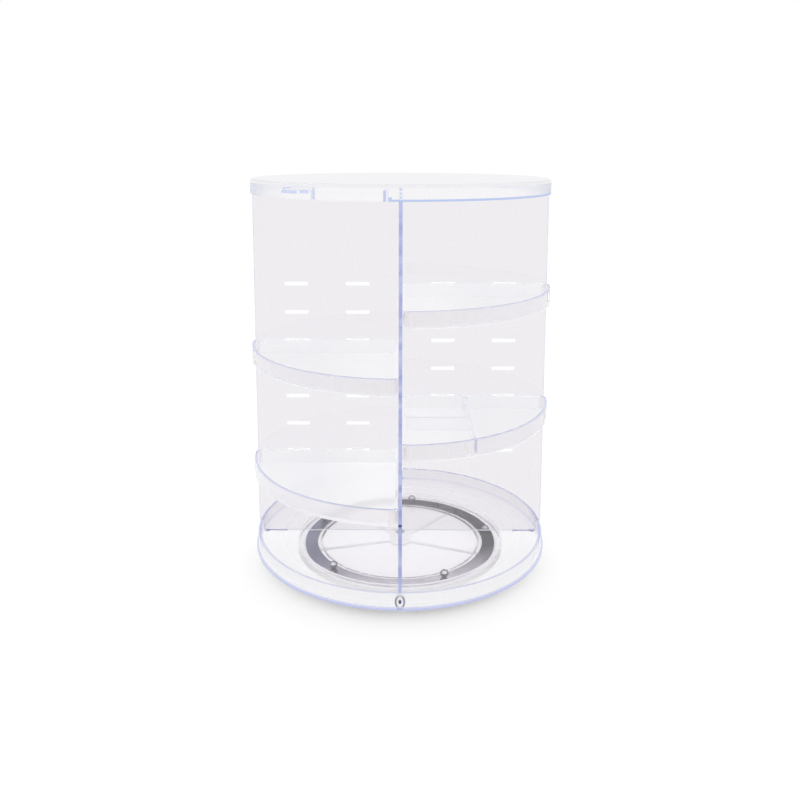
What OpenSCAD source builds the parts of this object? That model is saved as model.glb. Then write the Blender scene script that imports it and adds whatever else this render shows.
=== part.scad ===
// Rotating storage carousel: a turntable on a ball ring, two crossed panels,
// quarter trays hooked into the panels, dividers and a round cap.
// Millimetres, +Z up. The origin lies on the table, on the turning axis.

/* [Overall] */
// Diameter across the panels and the cap
body_d = 232; // [180:1:300]
// Height of the panels above the turntable's floor
panel_h = 289; // [240:1:400]
// Thickness of both panels
panel_t = 2.5; // [2:0.1:4]
// Gap between pieces that lie side by side without moving
fit_gap = 0.1; // [0.05:0.05:0.3]
// Gap under a piece that stands on another
seat_gap = 0.05; // [0.02:0.01:0.1]
// Gap between pieces that move past each other
run_gap = 0.3; // [0.2:0.05:0.6]

/* [Foot plate] */
// Diameter of the foot plate
foot_d = 168; // [160:1:200]
// Thickness of the foot plate's web
foot_web_t = 1.6; // [1.2:0.1:3]
// Height of the ribs under the web
foot_rib_h = 1.4; // [1:0.1:3]
// Width of the ribs
foot_rib_w = 1.6; // [1:0.1:3]
// Number of ribs, balls and rubber feet
spokes = 5; // [5:1:5]
// Direction of the first rib
foot_rib_turn = 51; // [0:1:71]
// Thickness of the foot plate's ring walls
foot_wall_t = 2; // [1.2:0.1:3]
// Height of the ring walls above the web
foot_wall_h = 4.5; // [3:0.1:5.5]

/* [Rubber feet] */
// Diameter of a rubber foot
pad_d = 12; // [8:0.5:16]
// How far a rubber foot stands out below the foot plate
pad_out = 1; // [0.5:0.1:3]
// Radius of the circle that the rubber feet lie on
pad_r = 73; // [60:1:73]
// Direction of the first rubber foot
pad_turn = 87; // [70:1:104]

/* [Ball ring] */
// Mean diameter of the steel ring
race_d = 146; // [130:1:146]
// Width of the steel ring
race_w = 10; // [8:0.5:11]
// Thickness of the steel ring
race_t = 1; // [0.5:0.1:2]
// Diameter of a ball
ball_d = 5.9; // [5:0.1:7]
// Clearance above and below a ball
ball_gap = 0.05; // [0.02:0.01:0.1]
// Direction of the first ball
ball_turn = 81.4; // [60:0.1:110]
// Thickness of the ball cage
cage_t = 2; // [1.5:0.1:3]
// Clearance between a ball and its pocket
pocket_gap = 0.15; // [0.1:0.05:0.3]
// Distance from the steel ring to the inner ring wall
race_margin = 2.5; // [1:0.1:5]

/* [Pivot] */
// Diameter of the turntable's spigot
spigot_d = 8; // [6:0.5:10]
// Radial clearance of the spigot in the hub
spigot_gap = 0.06; // [0.02:0.01:0.1]
// Diameter of the hub
hub_d = 18; // [16:0.5:24]
// Gap between the top of the hub and the turntable
hub_top_gap = 1.5; // [0.5:0.1:2]
// Diameter of the pivot washer
washer_d = 12; // [11:0.5:13]
// Thickness of the pivot washer
washer_t = 1; // [0.5:0.1:1.2]
// Diameter of the pivot screw's shank
screw_d = 3; // [2:0.5:4]
// Length of the pivot screw's shank above the washer
screw_bite = 6; // [4:0.5:7]
// Diameter of the pivot screw's head
screw_head_d = 5.6; // [5:0.1:8]
// Height of the pivot screw's head
screw_head_h = 1.6; // [1:0.1:1.8]
// Width of the cross recess in the pivot screw's head
recess_w = 0.8; // [0.5:0.1:1.2]
// Length of the cross recess
recess_l = 3.4; // [2:0.1:4]
// Depth of the cross recess
recess_h = 0.8; // [0.4:0.1:1]

/* [Turntable] */
// Thickness of the turntable's floor
floor_t = 2.5; // [2:0.1:4]
// Height of the turntable's rim above its floor
rim_h = 8.1; // [5:0.1:20]
// Thickness of the rim at the top
rim_t = 2.3; // [1.5:0.1:4]
// How far the rim's outside leans in towards the top
rim_lean = 0.4; // [0:0.1:1]
// How far the skirt hangs below the floor
skirt_drop = 1.5; // [1:0.1:3]
// Height of the bead round the skirt
bead_h = 2; // [1:0.1:3]
// How far the bead and the trays stand out beyond the panels
bead_out = 1.2; // [0.5:0.1:3]
// Diameter of a panel socket
socket_d = 7; // [6:0.5:10]
// How far a panel socket sinks into the rim
socket_sink = 0.5; // [0.3:0.1:1]

/* [Panels] */
// Distance from the axis to the inner end of a panel's foot tab
tab_r = 93; // [86:0.5:104]
// Distance from the rim's inside to the outer end of a foot tab
tab_inset = 2.3; // [0.5:0.1:5]
// Distance from the axis to the middle of the inner slots
slot_inner_r = 34.2; // [26:0.1:45]
// Distance from the axis to the middle of the outer slots
slot_outer_r = 82.9; // [70:0.1:88]
// Length of a slot
slot_l = 19; // [18.5:0.5:24]
// Height of a slot
slot_h = 3; // [2.6:0.1:4]
// Corner radius of a slot
slot_round = 1; // [0.3:0.1:1.2]
// Height of the lowest slots above the turntable's floor
slot_first_h = 69.5; // [40:0.5:80]
// Height from one row of slots to the next
slot_pitch = 23; // [20:0.5:28]
// Number of rows of slots
slot_rows = 7; // [7:1:7]

/* [Trays] */
// Height of a tray
tray_h = 12; // [8:0.5:20]
// Thickness of a tray's walls
tray_wall = 2; // [1.2:0.1:3]
// Thickness of a tray's floor
tray_floor = 2; // [1.2:0.1:3]
// Radius of a tray's two outer corners
tray_corner = 4; // [3:0.5:10]
// Width of a tray's hook tongue
tongue_w = 10; // [6:0.5:10]
// How far a hook tongue stands out behind the panel
tongue_out = 0.9; // [0.4:0.1:1]
// Bevel at the tip of a hook tongue
tongue_bevel = 0.5; // [0.2:0.1:0.8]
// Clearance under a hook tongue in its slot
tongue_gap = 0.05; // [0.02:0.01:0.1]
// Height of a tray's rim above the middle of its slots
tray_rise = 0.5; // [0.2:0.1:1]
// Number of each tray's slot row from below: right upper, left upper, right lower, left lower
tray_rows = [7, 5, 3, 1]; // [1:1:7]

/* [Dividers] */
// Thickness of the dividers
divider_t = 1.6; // [1:0.1:2.5]
// Distance from the deep panel to the long divider
divider_x = 52; // [30:0.5:80]
// Distance from the wide panel to the cross divider
divider_y = 56; // [30:0.5:75]
// How far the dividers stay below the tray's rim
divider_drop = 0.3; // [0:0.1:2]
// Diameter of the finger knob on the long divider
knob_d = 4; // [3:0.5:6]
// Depth of the groove that holds the cross divider
groove_depth = 0.4; // [0.2:0.1:0.5]

/* [Cap] */
// Thickness of the cap's plate
cap_plate_t = 2.5; // [2:0.1:4]
// Thickness of the cap's rim
cap_wall = 2.5; // [1.5:0.1:4]
// Height of the cap's rim below its plate
cap_rim_h = 8.8; // [6:0.1:20]
// Radius of the cap's upper edge
cap_round = 2.2; // [0.5:0.1:2.4]
// Direction of the middle of the snap tongue
snap_turn = -107.2; // [-125:0.1:-100]
// Angle that the snap tongue covers
snap_span = 25.5; // [10:0.5:30]
// Width of the two slits beside the snap tongue
slit_w = 1.8; // [1:0.1:3]
// Height of the bead on the snap tongue
snap_bead_h = 1.8; // [1:0.1:3]
// How far the bead on the snap tongue stands out
snap_bead_out = 0.5; // [0.2:0.1:1]
// Angle from a slit to the bead's end, and to the narrow slot beside the snap tongue
slit_side_turn = 1; // [1:0.1:3]
// Web left between the top of a slit and the plate's underside
slit_stop = 0.3; // [0.3:0.1:1]
// Angle that the narrow slot beside the snap tongue covers
vent_span = 13; // [5:0.5:15]
// Height of the narrow slot
vent_h = 1.6; // [1:0.1:3]
// Distance from the plate's underside down to the narrow slot
vent_drop = 1; // [0.5:0.1:3]

/* [Hidden] */
$fn = 96;
// A cut runs past the face that it cuts by this much
eps = 1;
body_r = body_d / 2;
half_t = panel_t / 2;
step_turn = 360 / spokes;

// Heights of the foot plate and of what lies on it
web_z = pad_out + foot_rib_h;
web_top = web_z + foot_web_t;
race_top = web_top + race_t;
ball_z = race_top + ball_gap + ball_d / 2;
floor_z = ball_z + ball_d / 2 + ball_gap;
hub_top = floor_z - hub_top_gap;
washer_z = pad_out + screw_head_h;
spigot_z = washer_z + washer_t;
hub_step_z = spigot_z + run_gap;

// Radii of the foot plate
foot_r = foot_d / 2;
race_r = race_d / 2;
race_in_r = race_r - race_w / 2;
race_out_r = race_r + race_w / 2;
wall_in_r = race_in_r - race_margin - foot_wall_t;
cage_in_r = wall_in_r + foot_wall_t + run_gap;
cage_out_r = foot_r - foot_wall_t - 2 * run_gap;

// Heights and radii of the turntable, the panels and the cap
floor_top = floor_z + floor_t;
rim_top = floor_top + rim_h;
skirt_z = floor_z - skirt_drop;
rim_out_r = body_r - rim_lean;
rim_in_r = rim_out_r - rim_t;
bead_r = body_r + bead_out;
panel_top = floor_top + panel_h;
panel_mid = floor_top + panel_h / 2;
cap_top = panel_top + cap_plate_t;
cap_rim_z = panel_top - cap_rim_h;
cap_in_r = body_r - cap_wall;
socket_r = rim_in_r + socket_sink - socket_d / 2;
tab_l = rim_in_r - tab_inset - tab_r;

// Trays: the gap to the panel's middle plane, the outer radius and the tongues
tray_edge = half_t + run_gap;
tray_r = body_r + bead_out;
tongue_tip = half_t + tongue_out;
tongue_drop = slot_h / 2 - tongue_gap;

// Height of a row of slots
function row_z(row) = floor_top + slot_first_h + (row - 1) * slot_pitch;

// Dividers: underside, height, and how near they come to the tray's straight and round walls
divider_z = row_z(tray_rows[2]) + tray_rise - tray_h + tray_floor + seat_gap;
divider_h = tray_h - tray_floor - divider_drop - seat_gap;
divider_near = tray_edge + tray_wall + run_gap;
divider_arc_r = tray_r - tray_wall - run_gap;
groove_x = divider_x - divider_t / 2 + groove_depth;

// ---- helpers ----

// Ring between two radii, standing on z
module ring(in_r, out_r, z, h) {
    translate([0, 0, z])
        difference() {
            cylinder(r = out_r, h = h);
            translate([0, 0, -eps])
                cylinder(r = in_r, h = h + 2 * eps);
        }
}

// Rectangle with rounded corners, centred
module rounded_slot(length, height, round) {
    square([length, height - 2 * round], center = true);
    square([length - 2 * round, height], center = true);
    for (sx = [-1, 1], sy = [-1, 1])
        translate([sx * (length / 2 - round), sy * (height / 2 - round)])
            circle(r = round, $fn = 24);
}

// Quarter disc in +X, -Y whose straight sides keep a distance from the axes.
// Both ends of the arc have rounded corners.
module quarter(edge, r, corner) {
    reach = sqrt(pow(r - corner, 2) - pow(edge + corner, 2));
    touch = r / (r - corner);
    difference() {
        intersection() {
            circle(r = r, $fn = 180);
            translate([edge, -r - eps])
                square([r + eps - edge, r + eps - edge]);
        }
        // the corner beside the wide panel
        difference() {
            polygon([
                [reach, -edge - corner],
                [reach, -edge + eps],
                [r + corner, -edge + eps],
                [reach * touch, -(edge + corner) * touch]
            ]);
            translate([reach, -edge - corner])
                circle(r = corner, $fn = 48);
        }
        // the corner beside the deep panel
        difference() {
            polygon([
                [edge + corner, -reach],
                [edge - eps, -reach],
                [edge - eps, -r - corner],
                [(edge + corner) * touch, -reach * touch]
            ]);
            translate([edge + corner, -reach])
                circle(r = corner, $fn = 48);
        }
    }
}

// ---- foot ----

module foot_plate() {
    color([0.92, 0.91, 0.94, 0.35])
        difference() {
            union() {
                translate([0, 0, web_z])
                    cylinder(r = foot_r, h = foot_web_t);
                // outer and inner ring walls
                ring(foot_r - foot_wall_t, foot_r, pad_out, web_top + foot_wall_h - pad_out);
                ring(wall_in_r, wall_in_r + foot_wall_t, web_z, web_top + foot_wall_h - web_z);
                // hub and ribs
                translate([0, 0, pad_out])
                    cylinder(d = hub_d, h = hub_top - pad_out);
                for (i = [0 : spokes - 1])
                    rotate(foot_rib_turn + i * step_turn)
                        translate([0, -foot_rib_w / 2, pad_out])
                            cube([foot_r - foot_wall_t / 2, foot_rib_w, foot_rib_h + foot_web_t / 2]);
            }
            // bore for the spigot and recess for the washer
            translate([0, 0, pad_out - eps])
                cylinder(r = spigot_d / 2 + spigot_gap, h = hub_top);
            translate([0, 0, pad_out - eps])
                cylinder(r = washer_d / 2 + 2 * run_gap, h = hub_step_z - pad_out + eps);
        }
}

module rubber_foot(i) {
    color([0.86, 0.87, 0.89, 0.6])
        rotate(pad_turn + (i - 1) * step_turn)
            translate([pad_r, 0, 0])
                cylinder(d = pad_d, h = web_z);
}

module race_ring() {
    color([0.55, 0.56, 0.6])
        ring(race_in_r, race_out_r, web_top, race_t);
}

// ---- ball ring ----

module ball_cage() {
    color([0.92, 0.91, 0.94, 0.35])
        difference() {
            ring(cage_in_r, cage_out_r, ball_z - cage_t / 2, cage_t);
            for (i = [0 : spokes - 1])
                rotate(ball_turn + i * step_turn)
                    translate([race_r, 0, ball_z - cage_t / 2 - eps])
                        cylinder(r = ball_d / 2 + pocket_gap, h = cage_t + 2 * eps);
        }
}

module ball(i) {
    color([0.75, 0.76, 0.8])
        rotate(ball_turn + (i - 1) * step_turn)
            translate([race_r, 0, ball_z])
                sphere(d = ball_d);
}

// ---- turntable ----

// Half section of the tray: floor, tapered rim, skirt and bead
module turntable_section() {
    polygon([
        [0, floor_z],
        [rim_in_r, floor_z],
        [rim_in_r, skirt_z],
        [bead_r, skirt_z],
        [bead_r, skirt_z + bead_h],
        [body_r, skirt_z + bead_h],
        [rim_out_r, rim_top],
        [rim_in_r, rim_top],
        [rim_in_r, floor_top],
        [0, floor_top]
    ]);
}

// Four round sockets inside the rim hold the panels' lower corners
module panel_sockets() {
    for (i = [0 : 3])
        rotate(i * 90)
            translate([socket_r, 0, floor_z])
                cylinder(d = socket_d, h = rim_top - floor_z, $fn = 48);
}

module panel_cuts() {
    for (i = [0 : 3])
        rotate(i * 90) {
            // slot in the floor for the foot tab
            translate([tab_r - fit_gap, -half_t - fit_gap / 2, floor_z - eps])
                cube([tab_l + 2 * fit_gap, panel_t + fit_gap, floor_t + 2 * eps]);
            // slot in the socket for the panel's corner
            translate([socket_r - socket_d, -half_t - fit_gap / 2, floor_top])
                cube([rim_in_r - socket_r + socket_d, panel_t + fit_gap, rim_h + eps]);
        }
}

module turntable() {
    color([0.92, 0.91, 0.94, 0.35])
        difference() {
            union() {
                rotate_extrude($fn = 180)
                    turntable_section();
                panel_sockets();
                translate([0, 0, spigot_z])
                    cylinder(d = spigot_d, h = floor_z + floor_t / 2 - spigot_z);
            }
            panel_cuts();
            // hole for the pivot screw
            translate([0, 0, spigot_z - eps])
                cylinder(d = screw_d, h = screw_bite + eps);
        }
}

module pivot_washer() {
    color([0.7, 0.7, 0.74])
        difference() {
            translate([0, 0, washer_z])
                cylinder(d = washer_d, h = washer_t);
            translate([0, 0, washer_z - eps])
                cylinder(d = screw_d, h = washer_t + 2 * eps);
        }
}

module pivot_screw() {
    color([0.7, 0.7, 0.74])
        difference() {
            union() {
                translate([0, 0, pad_out])
                    cylinder(d = screw_head_d, h = screw_head_h);
                translate([0, 0, pad_out])
                    cylinder(d = screw_d, h = screw_head_h + washer_t + screw_bite);
            }
            // cross recess
            for (turn = [0, 90])
                rotate(turn)
                    translate([-recess_l / 2, -recess_w / 2, pad_out - eps])
                        cube([recess_l, recess_w, recess_h + eps]);
        }
}

// ---- panels ----

// Outline of a panel without its slit, drawn in X and Z
module panel_outline() {
    low_r = rim_in_r - fit_gap;
    top_r = cap_in_r - run_gap;
    difference() {
        union() {
            translate([-low_r, floor_top + seat_gap])
                square([2 * low_r, rim_h + run_gap + eps]);
            translate([-body_r, rim_top + run_gap])
                square([2 * body_r, cap_rim_z - rim_top - 2 * run_gap]);
            translate([-top_r, cap_rim_z - run_gap - eps])
                square([2 * top_r, cap_rim_h + run_gap + eps - seat_gap]);
            for (side = [-1, 1])
                translate([side * (tab_r + tab_l / 2) - tab_l / 2, floor_z])
                    square([tab_l, floor_t + eps]);
        }
        for (row = [1 : slot_rows], x = [slot_inner_r, slot_outer_r], side = [-1, 1])
            translate([side * x, row_z(row)])
                rounded_slot(slot_l, slot_h, slot_round);
    }
}

// A panel in the XZ plane with a slit from one height to another
module panel(slit_low, slit_high) {
    color([0.9, 0.89, 0.94, 0.3])
        translate([0, half_t, 0])
            rotate([90, 0, 0])
                linear_extrude(panel_t)
                    difference() {
                        panel_outline();
                        translate([-half_t - fit_gap / 2, slit_low])
                            square([panel_t + fit_gap, slit_high - slit_low]);
                    }
}

module wide_panel() {
    panel(floor_top - eps, panel_mid + seat_gap);
}

module deep_panel() {
    rotate(90)
        panel(panel_mid, panel_top + eps);
}

// ---- trays ----

// Tongues on one straight side, standing out towards +Y through the panel
module tongues() {
    for (x = [slot_inner_r, slot_outer_r])
        translate([x - tongue_w / 2, 0, 0])
            rotate([90, 0, 90])
                linear_extrude(tongue_w)
                    polygon([
                        [-tray_edge - tray_wall / 2, -tongue_drop],
                        [tongue_tip - tongue_bevel, -tongue_drop],
                        [tongue_tip, -tongue_drop + tongue_bevel],
                        [tongue_tip, tray_rise],
                        [-tray_edge - tray_wall / 2, tray_rise]
                    ]);
}

// Tray for the front right quarter; its slots' middle lies at z = 0
module tray() {
    color([0.93, 0.92, 0.96, 0.4]) {
        difference() {
            translate([0, 0, tray_rise - tray_h])
                linear_extrude(tray_h)
                    quarter(tray_edge, tray_r, tray_corner);
            translate([0, 0, tray_rise - tray_h + tray_floor])
                linear_extrude(tray_h)
                    quarter(tray_edge + tray_wall, tray_r - tray_wall, tray_corner - tray_wall);
        }
        tongues();
        // the same tongues on the side beside the deep panel
        mirror([1, 1, 0])
            tongues();
    }
}

module tray_right_upper() {
    translate([0, 0, row_z(tray_rows[0])])
        tray();
}

module tray_right_lower() {
    translate([0, 0, row_z(tray_rows[2])])
        tray();
}

module tray_left_upper() {
    translate([0, 0, row_z(tray_rows[1])])
        mirror([1, 0, 0])
            tray();
}

module tray_left_lower() {
    translate([0, 0, row_z(tray_rows[3])])
        mirror([1, 0, 0])
            tray();
}

// ---- dividers ----

module divider_long() {
    far = sqrt(pow(divider_arc_r, 2) - pow(divider_x + divider_t / 2, 2));
    color([0.9, 0.89, 0.95, 0.4])
        difference() {
            union() {
                translate([divider_x - divider_t / 2, -far, divider_z])
                    cube([divider_t, far - divider_near, divider_h]);
                // finger knob at the end beside the wide panel
                translate([divider_x, -divider_near - knob_d / 2, divider_z])
                    cylinder(d = knob_d, h = divider_h, $fn = 32);
            }
            // groove for the cross divider's end
            translate([groove_x - divider_t, -divider_y - divider_t / 2 - seat_gap, divider_z - eps])
                cube([divider_t, divider_t + 2 * seat_gap, divider_h + 2 * eps]);
        }
}

module divider_cross() {
    color([0.9, 0.89, 0.95, 0.4])
        translate([divider_near, -divider_y - divider_t / 2, divider_z])
            cube([groove_x - seat_gap - divider_near, divider_t, divider_h]);
}

// ---- cap ----

// Half section of the cap: plate with a rounded edge, and rim
module cap_section() {
    translate([0, panel_top])
        square([body_r - cap_round, cap_plate_t]);
    translate([cap_in_r, cap_rim_z])
        square([cap_wall, cap_top - cap_round - cap_rim_z]);
    translate([body_r - cap_round, cap_top - cap_round])
        intersection() {
            circle(r = cap_round, $fn = 48);
            square([cap_round, cap_round]);
        }
    translate([cap_in_r, panel_top - cap_round])
        square([cap_wall - cap_round, cap_round + cap_plate_t]);
}

// Part of a ring of square section, from one direction over an angle
module ring_piece(in_r, out_r, z, h, turn, span) {
    rotate(turn)
        rotate_extrude(angle = span, $fn = 180)
            translate([in_r, z])
                square([out_r - in_r, h]);
}

module cap() {
    vent_turn = snap_turn - snap_span / 2 - slit_side_turn - vent_span;
    bead_turn = snap_turn - snap_span / 2 + slit_side_turn;
    bead_z = cap_rim_z + (cap_rim_h - snap_bead_h) / 2;
    color([0.93, 0.92, 0.96, 0.4]) {
        difference() {
            rotate_extrude($fn = 180)
                cap_section();
            // two slits free the snap tongue
            for (side = [-1, 1])
                rotate(snap_turn + side * snap_span / 2)
                    translate([cap_in_r - eps, -slit_w / 2, cap_rim_z - eps])
                        cube([cap_wall + 2 * eps, slit_w, cap_rim_h - slit_stop + eps]);
            // narrow slot beside the snap tongue
            ring_piece(cap_in_r - eps, body_r + eps, panel_top - vent_drop - vent_h, vent_h,
                vent_turn, vent_span);
        }
        // bead on the snap tongue
        ring_piece(body_r - cap_wall / 2, body_r + snap_bead_out, bead_z, snap_bead_h,
            bead_turn, snap_span - 2 * slit_side_turn);
    }
}

foot_plate();
rubber_foot(1);  // rubber_foot_1
rubber_foot(2);  // rubber_foot_2
rubber_foot(3);  // rubber_foot_3
rubber_foot(4);  // rubber_foot_4
rubber_foot(5);  // rubber_foot_5
race_ring();
ball_cage();
ball(1);  // ball_1
ball(2);  // ball_2
ball(3);  // ball_3
ball(4);  // ball_4
ball(5);  // ball_5
turntable();
pivot_washer();
pivot_screw();
wide_panel();
deep_panel();
tray_right_upper();
tray_left_upper();
tray_right_lower();
tray_left_lower();
divider_long();
divider_cross();
cap();
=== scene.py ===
import math

import bmesh
import bpy
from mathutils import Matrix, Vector


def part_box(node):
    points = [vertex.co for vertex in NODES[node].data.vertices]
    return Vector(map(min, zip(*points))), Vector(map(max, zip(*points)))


# A clear rotating storage carousel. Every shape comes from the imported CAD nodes; this script gives
# them their materials, and adds the photograph's camera, a white floor and backdrop, and one lamp.

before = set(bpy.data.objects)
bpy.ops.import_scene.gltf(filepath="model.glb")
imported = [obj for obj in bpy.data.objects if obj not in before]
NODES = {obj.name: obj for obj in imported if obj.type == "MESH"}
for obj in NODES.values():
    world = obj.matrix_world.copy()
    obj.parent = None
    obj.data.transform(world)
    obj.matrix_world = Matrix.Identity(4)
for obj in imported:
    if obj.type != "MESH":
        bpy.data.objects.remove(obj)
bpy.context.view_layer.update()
MM = 0.001

# ---- camera ----

CAM_PLACE = (-0.58 * MM, -662.9 * MM, 330.3 * MM)
CAM_PITCH = math.radians(8.575)
CAM_ROLL = math.radians(-0.113)
CAM_LENS, CAM_SENSOR = 38.0, 36.0
CAM_SHIFT_Y = -0.16
CAM_NEAR, CAM_FAR = 0.01, 50.0

cam_data = bpy.data.cameras.new("camera")
cam_data.lens = CAM_LENS
cam_data.sensor_width = CAM_SENSOR
cam_data.shift_y = CAM_SHIFT_Y
cam_data.clip_start = CAM_NEAR
cam_data.clip_end = CAM_FAR
camera = bpy.data.objects.new("camera", cam_data)
bpy.context.scene.collection.objects.link(camera)
camera.location = CAM_PLACE
camera.rotation_euler = (math.radians(90) - CAM_PITCH, CAM_ROLL, 0.0)
bpy.context.scene.camera = camera

# ---- node tree helpers ----

FLAT = 0.7
GRAZING_BLEND = 0.5


def new_material(name):
    mat = bpy.data.materials.new(name)
    mat.use_nodes = True
    nt = mat.node_tree
    nt.nodes.clear()
    return mat, nt


def opaque(colour):
    return (*colour, 1.0)


def scaled(colour, factor):
    return tuple(factor * c for c in colour)


class Tree:
    """Short names for the shader nodes that the materials are built from.
    A mask is a number that is 1 in the places it picks and 0 elsewhere."""

    def __init__(self, nt):
        self.nt = nt
        self.coord = nt.nodes.new("ShaderNodeTexCoord")
        self.place = None
        self.normal = None

    def put(self, socket, value):
        if isinstance(value, bpy.types.NodeSocket):
            self.nt.links.new(value, socket)
        else:
            socket.default_value = value

    def math(self, op, a, b=0.0, c=0.0, clamp=False):
        n = self.nt.nodes.new("ShaderNodeMath")
        n.operation = op
        n.use_clamp = clamp
        for i, v in enumerate((a, b, c)):
            self.put(n.inputs[i], v)
        return n.outputs[0]

    def split(self, vector):
        n = self.nt.nodes.new("ShaderNodeSeparateXYZ")
        self.nt.links.new(vector, n.inputs[0])
        return n.outputs[0], n.outputs[1], n.outputs[2]

    def at(self):
        """Place in the object's own coordinates, in metres."""
        if self.place is None:
            self.place = self.split(self.coord.outputs["Object"])
        return self.place

    def facing(self):
        """The face's normal in the object's own coordinates."""
        if self.normal is None:
            self.normal = self.split(self.coord.outputs["Normal"])
        return self.normal

    def squares(self, a, b):
        return self.math("ADD", self.math("MULTIPLY", a, a), self.math("MULTIPLY", b, b))

    def radius(self):
        x, y, _ = self.at()
        return self.math("SQRT", self.squares(x, y))

    def absolute(self, value):
        return self.math("ABSOLUTE", value)

    def above(self, value, level):
        return self.math("GREATER_THAN", value, level)

    def below(self, value, level):
        return self.math("LESS_THAN", value, level)

    def between(self, value, low, high):
        return self.both(self.above(value, low), self.below(value, high))

    def both(self, *masks):
        product = masks[0]
        for mask in masks[1:]:
            product = self.math("MULTIPLY", product, mask)
        return product

    def either(self, a, b):
        return self.math("MAXIMUM", a, b)

    def other(self, mask):
        return self.below(mask, 0.5)

    def level_face(self):
        """Picks the faces that lie level; a face's normal has a Z of more than FLAT there."""
        return self.above(self.absolute(self.facing()[2]), FLAT)

    def blend(self, mask, a, b):
        """Plain number: a where mask is 0, b where it is 1."""
        return self.math("MULTIPLY_ADD", mask, self.math("SUBTRACT", b, a), a)

    def grazing(self):
        """0 where a face is seen straight on, towards 1 where it is seen along its plane."""
        n = self.nt.nodes.new("ShaderNodeLayerWeight")
        n.inputs["Blend"].default_value = GRAZING_BLEND
        return n.outputs["Facing"]

    def mix(self, share, a, b):
        n = self.nt.nodes.new("ShaderNodeMix")
        n.data_type = "RGBA"
        self.put(n.inputs[0], share)
        self.put(n.inputs[6], a)
        self.put(n.inputs[7], b)
        return n.outputs[2]

    def noise(self, scale, detail=2.0, roughness=0.5, stretch=(1, 1, 1)):
        m = self.nt.nodes.new("ShaderNodeMapping")
        m.inputs["Scale"].default_value = stretch
        self.nt.links.new(self.coord.outputs["Object"], m.inputs[0])
        n = self.nt.nodes.new("ShaderNodeTexNoise")
        n.inputs["Scale"].default_value = scale
        n.inputs["Detail"].default_value = detail
        n.inputs["Roughness"].default_value = roughness
        self.nt.links.new(m.outputs[0], n.inputs["Vector"])
        return n.outputs[0]

    def ramp(self, value, low, high, to_low=0.0, to_high=1.0):
        """Goes from to_low at low to to_high at high, and stays there beyond them."""
        n = self.nt.nodes.new("ShaderNodeMapRange")
        n.inputs["From Min"].default_value = low
        n.inputs["From Max"].default_value = high
        n.inputs["To Min"].default_value = to_low
        n.inputs["To Max"].default_value = to_high
        self.put(n.inputs[0], value)
        return n.outputs[0]

    def bump(self, height, strength, distance):
        n = self.nt.nodes.new("ShaderNodeBump")
        n.inputs["Strength"].default_value = strength
        n.inputs["Distance"].default_value = distance
        self.nt.links.new(height, n.inputs["Height"])
        return n.outputs[0]

    def mix_shaders(self, share, a, b):
        n = self.nt.nodes.new("ShaderNodeMixShader")
        self.put(n.inputs[0], share)
        self.nt.links.new(a.outputs[0], n.inputs[1])
        self.nt.links.new(b.outputs[0], n.inputs[2])
        return n

    def finish(self, shader, volume=None):
        out = self.nt.nodes.new("ShaderNodeOutputMaterial")
        self.nt.links.new(shader.outputs[0], out.inputs["Surface"])
        if volume is not None:
            self.nt.links.new(volume.outputs[0], out.inputs["Volume"])


def principled(t, **values):
    n = t.nt.nodes.new("ShaderNodeBsdfPrincipled")
    for key, value in values.items():
        t.put(n.inputs[key.replace("_", " ")], value)
    return n


# ---- clear plastic ----

PLASTIC_IOR = 1.49
BODY_COLOUR, BODY_DENSITY = (0.0, 0.2, 0.8), 2.0
LIGHT_PASS = (0.996, 0.995, 0.996)
SKIRT_PASS = (0.16, 0.145, 0.11)
VEIL_WHITE = (0.93, 0.93, 0.94)
ROUGHNESS, SCRATCH_ROUGHNESS = 0.015, 0.12
SCUFF = 0.06
SCRATCH_SCALE, UPRIGHT_STRETCH, LEVEL_STRETCH = 1400.0, 0.03, 0.04
UPRIGHT_SCRATCHES, LEVEL_SCRATCHES = (0.64, 0.70), (0.65, 0.71)
DUST_SCALE, DUST_SPECKS = 2600.0, (0.74, 0.78)
GRAIN_SCALE, GRAIN_STRETCH, GRAIN_SPREAD = 260.0, 0.35, (0.3, 0.75)
FLOW_SCALE, FLOW_STRENGTH, FLOW_HEIGHT = 38.0, 0.25, 0.2 * MM


class Veil:
    """The milky layer on a clear plastic: its frosted edges, haze and mould marks, and the painted
    highlights, glows and shade laid on it.
    """

    def __init__(self, t):
        self.t = t
        self.share = 0.0
        self.colour = opaque(VEIL_WHITE)
        self.faint = 0.0

    def tint(self, mask, colour):
        self.colour = self.t.mix(mask, self.colour, opaque(colour))

    def lay(self, mask, share, colour):
        self.share = self.t.blend(mask, self.share, share)
        self.tint(mask, colour)

    def thin_out(self, mask):
        """Marks places so thin and even that they neither bend nor mirror what is behind them."""
        self.faint = self.t.blend(mask, self.faint, 1.0)


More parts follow.
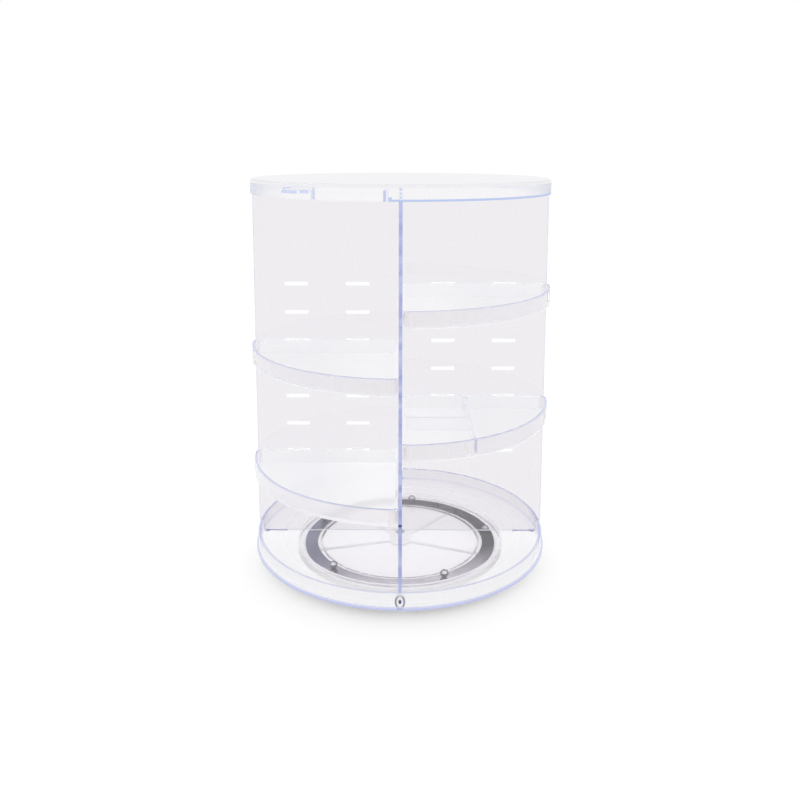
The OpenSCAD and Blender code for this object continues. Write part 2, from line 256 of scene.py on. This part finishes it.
def clear_plastic(name, tint, marks, shade=None):
    """Clear moulded plastic with fine scratches and dust; marks(t, veil) lays its frosted and hazy
    places and its painted light and shade. Lamp light and light that floods the scene pass
    straight through, dimmed a little at each face; shade(t) picks the places that dim it more."""
    mat, nt = new_material(name)
    t = Tree(nt)
    veil = Veil(t)
    marks(t, veil)
    steep = t.other(t.level_face())
    upright = t.noise(SCRATCH_SCALE, 2.0, 0.6, (1, 1, UPRIGHT_STRETCH))
    level = t.noise(SCRATCH_SCALE, 2.0, 0.6, (LEVEL_STRETCH, LEVEL_STRETCH, 1))
    scratches = t.either(
        t.both(t.ramp(upright, *UPRIGHT_SCRATCHES), steep),
        t.both(t.ramp(level, *LEVEL_SCRATCHES), steep),
    )
    wear = t.either(scratches, t.ramp(t.noise(DUST_SCALE, 1.0), *DUST_SPECKS))
    grain = t.noise(GRAIN_SCALE, 3.0, 0.6, (1, 1, GRAIN_STRETCH))
    rough = t.ramp(grain, *GRAIN_SPREAD, ROUGHNESS * 0.5, ROUGHNESS * 1.8)
    normal = t.bump(t.noise(FLOW_SCALE, 2.0, 0.45), FLOW_STRENGTH, FLOW_HEIGHT)
    clear = principled(
        t,
        Base_Color=opaque(tint),
        Roughness=t.math("MULTIPLY_ADD", wear, SCRATCH_ROUGHNESS, rough),
        IOR=PLASTIC_IOR,
        Transmission_Weight=1.0,
        Normal=normal,
    )
    milky = nt.nodes.new("ShaderNodeBsdfDiffuse")
    t.put(milky.inputs["Color"], veil.colour)
    t.put(milky.inputs["Normal"], normal)
    share = t.math("MULTIPLY_ADD", wear, SCUFF, veil.share, clamp=True)
    surface = t.mix_shaders(share, clear, milky)
    passing = nt.nodes.new("ShaderNodeBsdfTransparent")
    if shade is None:
        passing.inputs[0].default_value = opaque(LIGHT_PASS)
    else:
        nt.links.new(t.mix(shade(t), opaque(LIGHT_PASS), opaque(SKIRT_PASS)), passing.inputs[0])
    path = nt.nodes.new("ShaderNodeLightPath")
    lamp_light = t.either(path.outputs["Is Shadow Ray"], path.outputs["Is Diffuse Ray"])
    through = t.mix_shaders(t.either(lamp_light, veil.faint), surface, passing)
    volume = nt.nodes.new("ShaderNodeVolumeAbsorption")
    volume.inputs["Color"].default_value = opaque(BODY_COLOUR)
    volume.inputs["Density"].default_value = BODY_DENSITY
    t.finish(through, volume)
    return mat


# ---- measures of the object, from the frame ----

RIM_HEIGHT, RACE_WIDTH = 8.1 * MM, 10 * MM
BODY_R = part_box("cap")[1][0]
BEAD_OUT_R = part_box("turntable")[1][0]
RIM_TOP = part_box("turntable")[1][2]
FLOOR_TOP = RIM_TOP - RIM_HEIGHT
PANEL_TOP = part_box("wide_panel")[1][2]
CAP_FOOT, CAP_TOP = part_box("cap")[0][2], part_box("cap")[1][2]
PLATE_R, PLATE_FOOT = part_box("foot_plate")[1][0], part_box("foot_plate")[0][2]
BALL_TRACK_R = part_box("race_ring")[1][0] - RACE_WIDTH / 2

# ---- marks of the clear pieces ----

PANEL_TINT = (0.862, 0.843, 0.869)
CLEAR_TINT = (0.975, 0.965, 0.975)
EDGE_BLUE = (0.46, 0.51, 0.77)
SIDE_BLUE = (0.70, 0.73, 0.86)
RIM_BLUE = (0.58, 0.62, 0.81)
BASE_BLUE = (0.55, 0.58, 0.83)
CAP_BLUE = (0.50, 0.60, 0.86)
CUT_BLUE = (0.66, 0.72, 0.88)
TAB_BLUE = (0.30, 0.32, 0.60)
SPOT_DARK_BLUE = (0.03, 0.05, 0.22)
CUT_WHITE = (0.97, 0.97, 0.98)
HAZE_WHITE = (0.93, 0.93, 0.945)
PALE_GREY = (0.68, 0.67, 0.72)
WALL_GREY = (0.77, 0.74, 0.77)
BASE_GREY = (0.875, 0.87, 0.89)
LID_GREY = (0.88, 0.875, 0.895)
LID_EDGE_GREY = (0.86, 0.86, 0.885)
LID_SLANT_SHADE = (0.70, 0.71, 0.79)
RIB_GREY = (0.52, 0.52, 0.56)
POCKET_SHADE = (0.10, 0.10, 0.12)
DIVIDER_EDGE = (0.84, 0.85, 0.92)

PANEL_FOOT_Z, PANEL_HEAD_Z = FLOOR_TOP + 0.5 * MM, PANEL_TOP - 0.45 * MM
PANEL_SIDE = BODY_R - 5.5 * MM
SOCKET_TOP_Z = FLOOR_TOP + 0.02 * MM
FRONT_EDGE_Y = 1 * MM - BODY_R
SPOT_Z, SPOT_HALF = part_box("tray_left_lower")[0][2], 0.9 * MM
EDGE_SHADE_SCALE, EDGE_SHADE = 60.0, (0.72, 0.72, 0.86)


def panel_marks(across, edge, spot_z=None):
    """Marks of a panel; across is the axis along its width, 0 for X and 1 for Y, and spot_z is the
    height of the dark spot on its front edge."""

    def marks(t, veil):
        place, normal = t.at(), t.facing()
        z = place[2]
        thin = t.below(t.absolute(normal[1 - across]), FLAT)
        veil.lay(thin, 0.88, CUT_WHITE)
        ends = t.either(t.below(z, PANEL_FOOT_Z), t.above(z, PANEL_HEAD_Z))
        veil.lay(t.both(thin, t.level_face(), ends), 0.8, PALE_GREY)
        outer = t.both(thin, t.above(t.absolute(place[across]), PANEL_SIDE))
        veil.lay(outer, 0.82, edge)
        deep = t.ramp(t.noise(EDGE_SHADE_SCALE, 2.0, 0.5, (0, 0, 1)), 0.46, 0.54, 0.0, 0.85)
        veil.tint(t.both(outer, deep), tuple(c * s for c, s in zip(edge, EDGE_SHADE)))
        veil.lay(t.below(z, SOCKET_TOP_Z), 0.85, TAB_BLUE)
        if spot_z is not None:
            near = t.below(t.absolute(t.math("SUBTRACT", z, spot_z)), SPOT_HALF)
            front = t.below(place[1], FRONT_EDGE_Y)
            veil.lay(t.both(near, front, thin), 0.9, SPOT_DARK_BLUE)

    return marks


TRAY_CURVE_R, TRAY_STRAIGHT_R = BODY_R - 2 * MM, BODY_R - 4 * MM
TRAY_SKIN_R = BEAD_OUT_R - 0.6 * MM
TRAY_FLOOR_H, TRAY_RIM_H, TRAY_BAND_H = 2.2 * MM, 0.3 * MM, 0.7 * MM
WALL_FADE_X = (20 * MM, 70 * MM)
HAZE_FADE_X = (65 * MM, 20 * MM)
TRAY_CORNER_X, TRAY_CORNER_Y = 8 * MM, 10 * MM - BODY_R


def tray_marks(bottom, top, near, far, wall_share):
    """Marks of a tray; its haze goes from near, beside the deep panel, to far, out at its side. A
    painted highlight runs along the foot of its outer wall.
    """

    def marks(t, veil):
        x, y, z = t.at()
        r = t.radius()
        aside = t.absolute(x)
        flat = t.level_face()
        steep = t.other(flat)
        curved = t.above(r, TRAY_CURVE_R)
        outside = t.both(t.above(r, TRAY_SKIN_R), steep)
        straight = t.both(steep, t.below(r, TRAY_STRAIGHT_R))
        floor = t.both(flat, t.below(z, bottom + TRAY_FLOOR_H))
        rim = t.both(flat, t.above(z, top - TRAY_RIM_H))
        veil.share = 0.03
        veil.lay(straight, 0.7, scaled(far, 1.035))
        wall = t.ramp(aside, *WALL_FADE_X, wall_share, 0.5 * wall_share)
        veil.lay(t.both(steep, curved), wall, WALL_GREY)
        veil.lay(floor, t.ramp(t.grazing(), 0.4, 0.62, 0.06, 0.76), far)
        veil.tint(t.both(t.either(floor, straight), t.ramp(aside, *HAZE_FADE_X)), near)
        highlight_band = t.below(z, bottom + TRAY_BAND_H)
        # painted highlight: a white line along the foot of the curved outer wall
        veil.lay(t.both(outside, highlight_band), 1.25 * wall_share, HAZE_WHITE)
        veil.lay(t.both(outside, t.above(z, top - TRAY_BAND_H)), 0.3, RIM_BLUE)
        veil.lay(rim, 0.6, CUT_WHITE)
        veil.lay(t.both(rim, curved), 0.65, RIM_BLUE)
        corner = t.both(t.below(aside, TRAY_CORNER_X), t.below(y, TRAY_CORNER_Y))
        veil.lay(t.both(corner, steep, t.below(z, top - TRAY_BAND_H)), 0.45, WALL_GREY)

    return marks


FLOOR_Z, RIM_Z = FLOOR_TOP + 0.5 * MM, RIM_TOP - 0.3 * MM
WALL_R, BEAD_R, HUB_R = BODY_R - 4 * MM, BODY_R - 2.5 * MM, 10 * MM
MIDDLE_R = (54 * MM, 46 * MM)
BORDER_R = (BODY_R - 25 * MM, BODY_R - 19 * MM)
BACK_FLOOR_Y = (10 * MM, 45 * MM)
BACK_WALL_Y = (0.0, 12 * MM)
WALL_FOOT_Z = (FLOOR_TOP + 2.5 * MM, FLOOR_TOP)
BEAD_Z = (FLOOR_TOP - 2.5 * MM, FLOOR_TOP - 1.3 * MM)
SOCKET_R, SOCKET_Z = (BODY_R - 26 * MM, BODY_R - 3 * MM), FLOOR_TOP + 0.1 * MM
EYELET_Y, EYELET_Z = 4 * MM - BODY_R, FLOOR_TOP + 1.9 * MM
EYELET_HALF_W, EYELET_HALF_H = 3.6 * MM, 5.2 * MM
EYELET_GREY, EYELET_DARK = (0.24, 0.25, 0.31), (0.07, 0.08, 0.16)


def eyelet(t, veil, steep):
    """The dark ring and point where the front socket closes round the deep panel's corner."""
    x, y, z = t.at()
    wide = t.math("DIVIDE", x, EYELET_HALF_W)
    high = t.math("DIVIDE", t.math("SUBTRACT", z, EYELET_Z), EYELET_HALF_H)
    out = t.squares(wide, high)
    front = t.both(t.below(y, EYELET_Y), steep)
    ring = t.both(t.ramp(out, 0.25, 0.6), t.ramp(out, 1.15, 0.9))
    side = t.ramp(t.absolute(wide), 0.1, 0.7, 0.45, 1.0)
    veil.lay(t.both(front, ring, side), 0.75, EYELET_GREY)
    veil.lay(t.both(front, t.ramp(out, 0.12, 0.06)), 0.85, EYELET_DARK)


def turntable_marks(t, veil):
    """Marks of the turntable: its floor, wall, rim, foot bead, sockets and eyelet."""
    _, y, z = t.at()
    r = t.radius()
    flat = t.level_face()
    steep = t.other(flat)
    wall = t.both(t.above(r, WALL_R), steep)
    floor = t.both(flat, t.below(z, FLOOR_Z))
    slant = t.ramp(t.grazing(), 0.2, 0.55)
    veil.share = 0.15
    veil.lay(floor, 0.012, CUT_WHITE)
    veil.lay(t.both(floor, t.ramp(r, *MIDDLE_R), slant), 0.2, CUT_WHITE)
    border_share = t.ramp(y, *BACK_FLOOR_Y, 0.45, 0.7)
    veil.lay(t.both(floor, t.ramp(r, *BORDER_R), slant), border_share, HAZE_WHITE)
    veil.lay(wall, t.ramp(y, *BACK_WALL_Y, 0.75, 0.12), BASE_GREY)
    front = t.ramp(y, *BACK_WALL_Y, 1.0, 0.0)
    veil.lay(t.both(wall, front, t.ramp(z, *WALL_FOOT_Z)), 0.8, CUT_WHITE)
    veil.thin_out(t.both(t.between(r, *SOCKET_R), t.above(z, SOCKET_Z)))
    veil.lay(t.both(t.below(r, HUB_R), steep), 0.5, HAZE_WHITE)
    veil.lay(t.both(flat, t.above(z, RIM_Z)), 0.45, RIM_BLUE)
    bead = t.both(t.above(r, BEAD_R), t.ramp(z, *BEAD_Z, 1.0, 0.0))
    veil.lay(bead, t.ramp(t.grazing(), 0.45, 0.95, 0.95, 0.5), BASE_BLUE)
    eyelet(t, veil, steep)


SNAP_FROM, SNAP_TO = -58.5 * MM, -8.5 * MM
CUT_SPLIT_X = -30 * MM
LID_TOP_Z, LID_WALL_Z = CAP_TOP - 2.55 * MM, CAP_TOP - 2.6 * MM
LID_EDGE_Z, LID_EDGE_R = CAP_TOP - 2.4 * MM, BODY_R - 2.1 * MM
LID_WALL_R, LID_SKIN_R = BODY_R - 3 * MM, BODY_R - 1.4 * MM
LID_FRONT_Y = -60 * MM
LID_STEP_Z, LID_LIP_Z = CAP_FOOT + 2.3 * MM, CAP_FOOT + 1.4 * MM
DOT_HALF_W = 0.8 * MM
DOTS_PER_M = 2400.0

# Painted glows on the cap's rim beside the tongue, where light would leave its slits: from x, to x,
# then from and to which height above the cap's foot, all in mm, and then the share and the colour.
PAINTED_SLIT_GLOWS = (
    (-11.4, -9.2, 0.1, 7.3, 0.75, (0.42, 0.52, 0.84)),
    (-9.2, -5.8, 0.1, 2.9, 0.7, (0.42, 0.52, 0.84)),
    (-60.0, -57.2, 0.1, 6.1, 0.6, (0.62, 0.68, 0.88)),
    (-82.0, -70.0, 3.7, 5.9, 0.6, (0.50, 0.60, 0.90)),
    (-68.0, -61.5, 4.2, 6.2, 0.6, (0.50, 0.60, 0.90)),
)


def cap_marks(t, veil):
    """Marks of the cap: its top, rounded edge, wall, snap tongue, slits and row of dots, with
    painted glows beside the tongue and painted shade on the wall where it is seen at a slant.
    """
    x, y, z = t.at()
    nx, ny, _ = t.facing()
    r = t.radius()
    flat = t.level_face()
    along_r = t.math("ADD", t.math("MULTIPLY", x, nx), t.math("MULTIPLY", y, ny))
    outward = t.math("DIVIDE", along_r, r)
    veil.share = 0.5
    veil.lay(t.above(z, LID_TOP_Z), t.ramp(t.grazing(), 0.7, 0.95, 0.06, 0.95), LID_GREY)
    veil.lay(t.both(t.above(z, LID_EDGE_Z), t.above(r, LID_EDGE_R)), 0.9, LID_EDGE_GREY)
    wall = t.both(t.above(r, LID_WALL_R), t.below(z, LID_WALL_Z))
    veil.lay(wall, t.ramp(t.grazing(), 0.4, 0.75, 0.5, 0.8), HAZE_WHITE)
    # painted shade: the cap's wall turns darker grey-blue where it is seen at a slant
    veil.tint(t.both(wall, t.ramp(t.grazing(), 0.35, 0.75)), LID_SLANT_SHADE)
    front = t.below(y, LID_FRONT_Y)
    veil.lay(t.both(wall, front, t.between(x, SNAP_FROM, SNAP_TO)), 0.6, HAZE_WHITE)
    cut = t.both(wall, t.other(flat), t.below(t.absolute(outward), 0.5))
    veil.lay(cut, 0.7, CUT_BLUE)
    veil.lay(t.both(cut, t.above(x, CUT_SPLIT_X)), 0.85, CAP_BLUE)
    outer = t.both(front, wall, t.above(r, LID_SKIN_R))
    # painted glows laid on the front of the rim's outer skin
    for x0, x1, h0, h1, share, colour in PAINTED_SLIT_GLOWS:
        along = t.between(x, x0 * MM, x1 * MM)
        high = t.between(z, CAP_FOOT + h0 * MM, CAP_FOOT + h1 * MM)
        veil.lay(t.both(outer, along, high), share, colour)
    row = t.above(t.math("SINE", t.math("MULTIPLY", z, DOTS_PER_M)), 0.1)
    veil.lay(t.both(outer, t.below(t.absolute(x), DOT_HALF_W), row), 0.6, CAP_BLUE)
    veil.lay(t.both(wall, flat, t.above(z, LID_STEP_Z)), 0.85, CAP_BLUE)
    left_front = t.both(t.below(y, 0.0), t.below(x, SNAP_TO))
    veil.lay(t.both(t.below(z, LID_LIP_Z), t.other(left_front)), 0.85, CAP_BLUE)


WEB_Z, RIB_Z = PLATE_FOOT + 3.1 * MM, PLATE_FOOT + 2.2 * MM
FOOT_INNER_R = (30 * MM, 68 * MM)
WEB_LIT_BORDER_R, FOOT_WALL_R = PLATE_R - 8 * MM, PLATE_R - 4 * MM


def foot_marks(t, veil):
    """Marks of the foot plate: its level web, whose border carries painted light where the steel
    strip's shadow falls, its walls and ribs.
    """
    _, _, z = t.at()
    r = t.radius()
    flat = t.level_face()
    steep = t.other(flat)
    upper = t.above(z, WEB_Z)
    web = t.both(flat, t.below(z, WEB_Z))
    veil.share = 0.05
    veil.lay(web, 0.15, CUT_WHITE)
    # painted light: the web's border is laid near white, so the steel strip's shadow does not show
    # on it
    veil.lay(t.both(web, t.above(r, WEB_LIT_BORDER_R)), 0.9, CUT_WHITE)
    veil.lay(steep, 0.8, HAZE_WHITE)
    veil.lay(t.both(steep, t.below(z, RIB_Z), t.below(r, FOOT_WALL_R)), 0.8, RIB_GREY)
    veil.lay(t.both(flat, upper), 0.5, HAZE_WHITE)
    veil.thin_out(t.both(t.between(r, *FOOT_INNER_R), upper))
    veil.thin_out(t.both(steep, t.above(r, FOOT_WALL_R), upper))


POCKET_R = (BALL_TRACK_R - 3.5 * MM, BALL_TRACK_R + 3.5 * MM)


def cage_marks(t, veil):
    """Marks of the ball cage; only the walls of its pockets show, painted dark as shade round the
    balls.
    """
    pocket = t.both(t.other(t.level_face()), t.between(t.radius(), *POCKET_R))
    veil.share = 0.02
    # painted shade on the pocket walls round the balls
    veil.lay(pocket, 0.8, POCKET_SHADE)
    veil.thin_out(t.other(pocket))


def divider_marks(across, front_end=None):
    """Marks of a divider; across is the axis along its length, and what lies before front_end is
    the blue end of the long one."""

    def marks(t, veil):
        veil.share = 0.12
        veil.lay(t.below(t.absolute(t.facing()[1 - across]), FLAT), 0.6, DIVIDER_EDGE)
        if front_end is not None:
            veil.lay(t.below(t.at()[1], front_end), 0.85, TAB_BLUE)

    return marks


SKIRT_INNER_R = (BODY_R - 26 * MM, BODY_R - 21 * MM)
SKIRT_OUTER_R = (BODY_R - 9 * MM, BODY_R - 13 * MM)
SKIRT_FRONT_Y = (10 * MM, -40 * MM)


def skirt(t):
    """The floor's border under the front throws the soft shadow that hugs the base."""
    _, y, z = t.at()
    r = t.radius()
    border = t.both(t.ramp(r, *SKIRT_INNER_R), t.ramp(r, *SKIRT_OUTER_R))
    return t.both(border, t.below(z, FLOOR_Z), t.ramp(y, *SKIRT_FRONT_Y))


NEAR_WHITE, NEAR_HAZE = (0.99, 0.99, 0.995), (0.925, 0.925, 0.94)
TRAY_HAZE, FAR_HAZE = (0.90, 0.90, 0.92), (0.87, 0.87, 0.89)
TRAY_LOOKS = {
    "tray_right_upper": (NEAR_HAZE, FAR_HAZE, 0.4),
    "tray_left_upper": (NEAR_HAZE, FAR_HAZE, 0.4),
    "tray_right_lower": (NEAR_HAZE, FAR_HAZE, 0.4),
    "tray_left_lower": (NEAR_WHITE, TRAY_HAZE, 0.18),
}
DIVIDER_END = 1.5 * MM

wide_mat = clear_plastic("clear_wide_panel", PANEL_TINT, panel_marks(0, SIDE_BLUE))
deep_mat = clear_plastic("clear_deep_panel", PANEL_TINT, panel_marks(1, EDGE_BLUE, SPOT_Z))
turntable_mat = clear_plastic("clear_turntable", CLEAR_TINT, turntable_marks, shade=skirt)
cap_mat = clear_plastic("clear_cap", CLEAR_TINT, cap_marks)
foot_mat = clear_plastic("clear_foot", CLEAR_TINT, foot_marks)
cage_mat = clear_plastic("clear_cage", CLEAR_TINT, cage_marks)

tray_mats = {}
for node, (near, far, wall_share) in TRAY_LOOKS.items():
    low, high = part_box(node)
    marks = tray_marks(low[2], high[2], near, far, wall_share)
    tray_mats[node] = clear_plastic("clear_" + node, CLEAR_TINT, marks)

long_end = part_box("divider_long")[0][1] + DIVIDER_END
long_mat = clear_plastic("clear_long_divider", CLEAR_TINT, divider_marks(1, long_end))
cross_mat = clear_plastic("clear_cross_divider", CLEAR_TINT, divider_marks(0))


# ---- metal and rubber ----

PATCH_SCALE, WORN_SCALE, SILICONE_SCALE = 35.0, 90.0, 1500.0
METAL_STRENGTH, SILICONE_STRENGTH, FINE_HEIGHT = 0.15, 0.3, 0.05 * MM
EVEN_SPREAD = (0.3, 0.7)
WHITE = (1.0, 1.0, 1.0)
STEEL_BLUED, STEEL_RIM = (0.026, 0.027, 0.05), (0.12, 0.12, 0.15)
# painted reflections on the steel strip: a blue-grey one towards the left and a highlight towards
# the front
STRIP_BLUE_REFLECTION, STRIP_HIGHLIGHT = (0.44, 0.46, 0.62), (0.86, 0.83, 0.88)
STRIP_TURN = -0.15
HIGHLIGHT_Y = (-70 * MM, -22 * MM)
BLUE_REFLECTION_X = (-30 * MM, -70 * MM)
# BALL_EDGE_TINT_AND_PAINTED_RIM is the balls' edge tint and also the colour of the painted dark
# reflection round their rim
BALL_CHROME, BALL_EDGE_TINT_AND_PAINTED_RIM = (0.80, 0.81, 0.84), (0.05, 0.05, 0.07)
ZINC = (0.86, 0.86, 0.88)
SILICONE, SILICONE_IOR = (0.93, 0.93, 0.95), 1.41


def metal(name, colour, roughness, spread, grain=900.0, rim=WHITE, painted_light=None):
    """Bare metal with patches and fine wear. spread says how far its patches differ, grain is the
    scale of the wear, rim is the tint of its reflection along the surface, and bright(t, shade)
    lays painted highlights and reflections over its colour."""
    mat, nt = new_material(name)
    t = Tree(nt)
    wear = t.noise(grain, 4.0, 0.6)
    darker = scaled(colour, 1 - spread / 2)
    lighter = tuple(min(1.0, c) for c in scaled(colour, 1 + spread / 2))
    patches = t.ramp(t.noise(PATCH_SCALE), *EVEN_SPREAD)
    shade = t.mix(patches, opaque(darker), opaque(lighter))
    if painted_light is not None:
        shade = painted_light(t, shade)
    shader = principled(
        t,
        Base_Color=shade,
        Roughness=t.ramp(wear, *EVEN_SPREAD, roughness * 0.7, roughness * 1.4),
        Metallic=1.0,
        Specular_Tint=opaque(rim),
        Normal=t.bump(wear, METAL_STRENGTH, FINE_HEIGHT),
    )
    t.finish(shader)
    return mat


def painted_strip_reflections(t, shade):
    """The strip is blued dark; over that it has a painted blue-grey reflection towards the left and
    a painted, streaked highlight towards the front.
    """
    x, y, _ = t.at()
    front = t.ramp(t.math("ADD", y, t.math("MULTIPLY", x, STRIP_TURN)), *HIGHLIGHT_Y, 1.0, 0.0)
    blue_reflection = t.mix(t.ramp(x, *BLUE_REFLECTION_X, 0.0, 0.62), shade, opaque(STRIP_BLUE_REFLECTION))
    highlight_streaks = t.math("MULTIPLY", front, t.ramp(t.noise(WORN_SCALE), 0.35, 0.65, 0.82, 1.0))
    return t.mix(highlight_streaks, blue_reflection, opaque(STRIP_HIGHLIGHT))


def painted_dark_rim(t, shade):
    """Paints a dark reflection of the strip round a ball's rim, where the ball is seen at a slant.
    """
    return t.mix(t.ramp(t.grazing(), 0.22, 0.42), shade, opaque(BALL_EDGE_TINT_AND_PAINTED_RIM))


def silicone(name, colour):
    """Clear silicone with a fine grain."""
    mat, nt = new_material(name)
    t = Tree(nt)
    grain = t.noise(SILICONE_SCALE, 3.0, 0.6)
    patches = t.ramp(grain, *EVEN_SPREAD)
    shader = principled(
        t,
        Base_Color=t.mix(patches, opaque(scaled(colour, 0.96)), opaque(colour)),
        Roughness=t.ramp(grain, *EVEN_SPREAD, 0.35, 0.5),
        IOR=SILICONE_IOR,
        Transmission_Weight=0.6,
        Normal=t.bump(grain, SILICONE_STRENGTH, FINE_HEIGHT),
    )
    t.finish(shader)
    return mat


race_mat = metal("steel_strip", STEEL_BLUED, 0.16, 0.5, rim=STEEL_RIM, painted_light=painted_strip_reflections)
ball_mat = metal(
    "polished_ball", BALL_CHROME, 0.08, 0.1, grain=2000.0, rim=BALL_EDGE_TINT_AND_PAINTED_RIM, painted_light=painted_dark_rim
)
zinc_mat = metal("zinc_steel", ZINC, 0.3, 0.08)
foot_rubber_mat = silicone("clear_silicone", SILICONE)

# ---- which piece has which material ----

FINISH = {
    "foot_plate": foot_mat,
    "race_ring": race_mat,
    "ball_cage": cage_mat,
    "turntable": turntable_mat,
    "pivot_washer": zinc_mat,
    "pivot_screw": zinc_mat,
    "wide_panel": wide_mat,
    "deep_panel": deep_mat,
    "divider_long": long_mat,
    "divider_cross": cross_mat,
    "cap": cap_mat,
    **tray_mats,
}
for i in range(1, 6):
    FINISH[f"rubber_foot_{i}"] = foot_rubber_mat
    FINISH[f"ball_{i}"] = ball_mat

for name, mat in FINISH.items():
    for slot in NODES[name].material_slots:
        slot.material = mat

# ---- floor, world and lamp ----

FLOOR_SIZE = 12.0
FLOOR_GLOW = 0.78
LAMP_PLACE, LAMP_AIM = Vector((-0.4, -0.3, 2.2)), Vector((0, 0, 0.1))
LAMP_SIDE, LAMP_POWER = 1.6, 1.6
BOUNCES, CLEAR_BOUNCES = 96, 48

floor_mesh = bpy.data.meshes.new("floor")
bm = bmesh.new()
bmesh.ops.create_grid(bm, x_segments=1, y_segments=1, size=FLOOR_SIZE / 2)
bm.to_mesh(floor_mesh)
bm.free()
floor = bpy.data.objects.new("floor", floor_mesh)
bpy.context.scene.collection.objects.link(floor)

# seen through the plastic or mirrored in it, the floor glows nearly as bright as the backdrop
floor_mat, floor_nt = new_material("floor_white")
floor_tree = Tree(floor_nt)
matt = principled(floor_tree, Base_Color=opaque(WHITE), Roughness=0.9, Specular_IOR_Level=0.0)
glow = floor_nt.nodes.new("ShaderNodeEmission")
glow.inputs["Color"].default_value = opaque(WHITE)
ray = floor_nt.nodes.new("ShaderNodeLightPath")
in_plastic = floor_tree.either(ray.outputs["Is Glossy Ray"], ray.outputs["Is Transmission Ray"])
glow_share = floor_tree.math("MULTIPLY", in_plastic, FLOOR_GLOW)
floor_tree.finish(floor_tree.mix_shaders(glow_share, matt, glow))
floor_mesh.materials.append(floor_mat)

world = bpy.data.worlds.new("studio")
bpy.context.scene.world = world
world.use_nodes = True
world_nodes = world.node_tree.nodes
world_nodes.clear()
backdrop = world_nodes.new("ShaderNodeBackground")
backdrop.inputs["Color"].default_value = opaque(WHITE)
backdrop.inputs["Strength"].default_value = 1.0
world_out = world_nodes.new("ShaderNodeOutputWorld")
world.node_tree.links.new(backdrop.outputs[0], world_out.inputs["Surface"])

lamp_data = bpy.data.lights.new("lamp_top", "AREA")
lamp_data.shape = "RECTANGLE"
lamp_data.size = lamp_data.size_y = LAMP_SIDE
lamp_data.energy = LAMP_POWER
lamp = bpy.data.objects.new("lamp_top", lamp_data)
bpy.context.scene.collection.objects.link(lamp)
lamp.location = LAMP_PLACE
lamp.rotation_mode = "QUATERNION"
lamp.rotation_quaternion = (LAMP_AIM - LAMP_PLACE).to_track_quat("-Z", "Y")

scene = bpy.context.scene
scene.view_settings.view_transform = "Standard"
scene.cycles.max_bounces = BOUNCES
scene.cycles.transmission_bounces = BOUNCES
scene.cycles.glossy_bounces = BOUNCES
scene.cycles.transparent_max_bounces = CLEAR_BOUNCES
